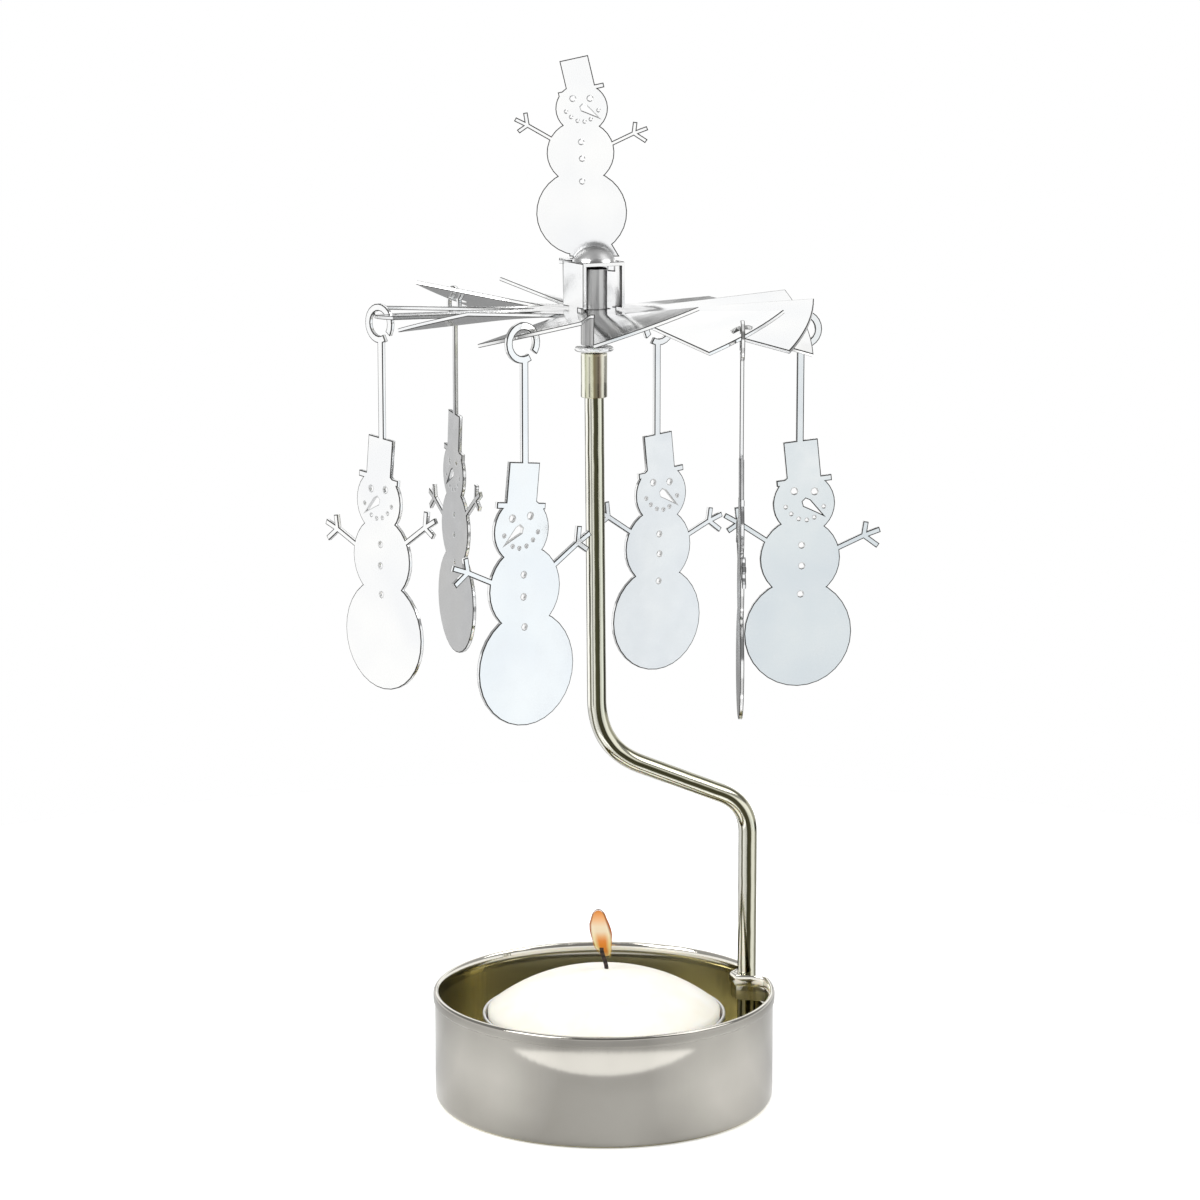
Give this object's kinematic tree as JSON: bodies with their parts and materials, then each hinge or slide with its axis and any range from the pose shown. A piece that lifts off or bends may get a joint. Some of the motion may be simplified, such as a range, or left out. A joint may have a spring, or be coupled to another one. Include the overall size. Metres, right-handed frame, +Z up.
{
  "type": "rotating candle holder",
  "caption": "Metal tealight cup with a bent rod and a bladed wheel on a point that turns in warm air, with hanging snowman figures and another figure on top.",
  "frame": {"origin": "middle of the cup's underside, on the table", "axes": "+Z up along the cup's axis, -Y towards the viewer of the picture, +X to the right, where the rod stands"},
  "size_m": [0.088, 0.0788, 0.1657],
  "materials": {
    "cup_metal": "satin nickel plating on steel sheet",
    "nickel": "polished nickel plating on steel",
    "bright_sheet": "bright plated steel sheet",
    "can_aluminium": "pressed foil, satin",
    "wax": "smooth off-white wax",
    "wick": "burnt braided cotton"
  },
  "bodies": {
    "stand": {"candle_cup": "cup_metal", "stand_rod": "nickel", "spindle_sleeve": "nickel", "spindle_collar": "nickel", "pivot_pin": "nickel"},
    "rotor": {"rotor_wheel": "bright_sheet", "pivot_bridge": "bright_sheet", "top_snowman": "bright_sheet"},
    "charm_1": {"snowman_charm_1": "bright_sheet"},
    "charm_2": {"snowman_charm_2": "bright_sheet"},
    "charm_3": {"snowman_charm_3": "bright_sheet"},
    "charm_4": {"snowman_charm_4": "bright_sheet"},
    "charm_5": {"snowman_charm_5": "bright_sheet"},
    "charm_6": {"snowman_charm_6": "bright_sheet"},
    "tealight": {"tealight_can": "can_aluminium", "tealight_wax": "wax", "wick_foot": "can_aluminium", "tealight_wick": "wick"}
  },
  "joints": [
    {"name": "rotor_spin", "type": "hinge", "parent": "stand", "child": "rotor", "pos_m": [-0.00157, 0, 0.1358], "axis": [0, 0, 1], "continuous": true},
    {"name": "charm_1_swing", "type": "hinge", "parent": "rotor", "child": "charm_1", "pos_m": [0.03123, 0.00772, 0.12302], "axis": [0.1478, -0.989, 0], "range_deg": [-15, 15]},
    {"name": "charm_2_swing", "type": "hinge", "parent": "rotor", "child": "charm_2", "pos_m": [0.00894, 0.03162, 0.12091], "axis": [0.5519, -0.8339, 0], "range_deg": [-15, 15]},
    {"name": "charm_3_swing", "type": "hinge", "parent": "rotor", "child": "charm_3", "pos_m": [-0.02422, 0.02479, 0.12522], "axis": [0.9304, 0.3665, 0], "range_deg": [-15, 15]},
    {"name": "charm_4_swing", "type": "hinge", "parent": "rotor", "child": "charm_4", "pos_m": [-0.03442, -0.00577, 0.12532], "axis": [0.7009, 0.7132, 0], "range_deg": [-15, 15]},
    {"name": "charm_5_swing", "type": "hinge", "parent": "rotor", "child": "charm_5", "pos_m": [-0.01201, -0.03172, 0.12513], "axis": [-0.6088, 0.7934, 0], "range_deg": [-15, 15]},
    {"name": "charm_6_swing", "type": "hinge", "parent": "rotor", "child": "charm_6", "pos_m": [0.02046, -0.02491, 0.12467], "axis": [-1, 0, 0], "range_deg": [-15, 15]},
    {"name": "tealight_lift", "type": "slide", "parent": "stand", "child": "tealight", "axis": [0, 0, 1], "range_m": [0, 0.02]}
  ]
}
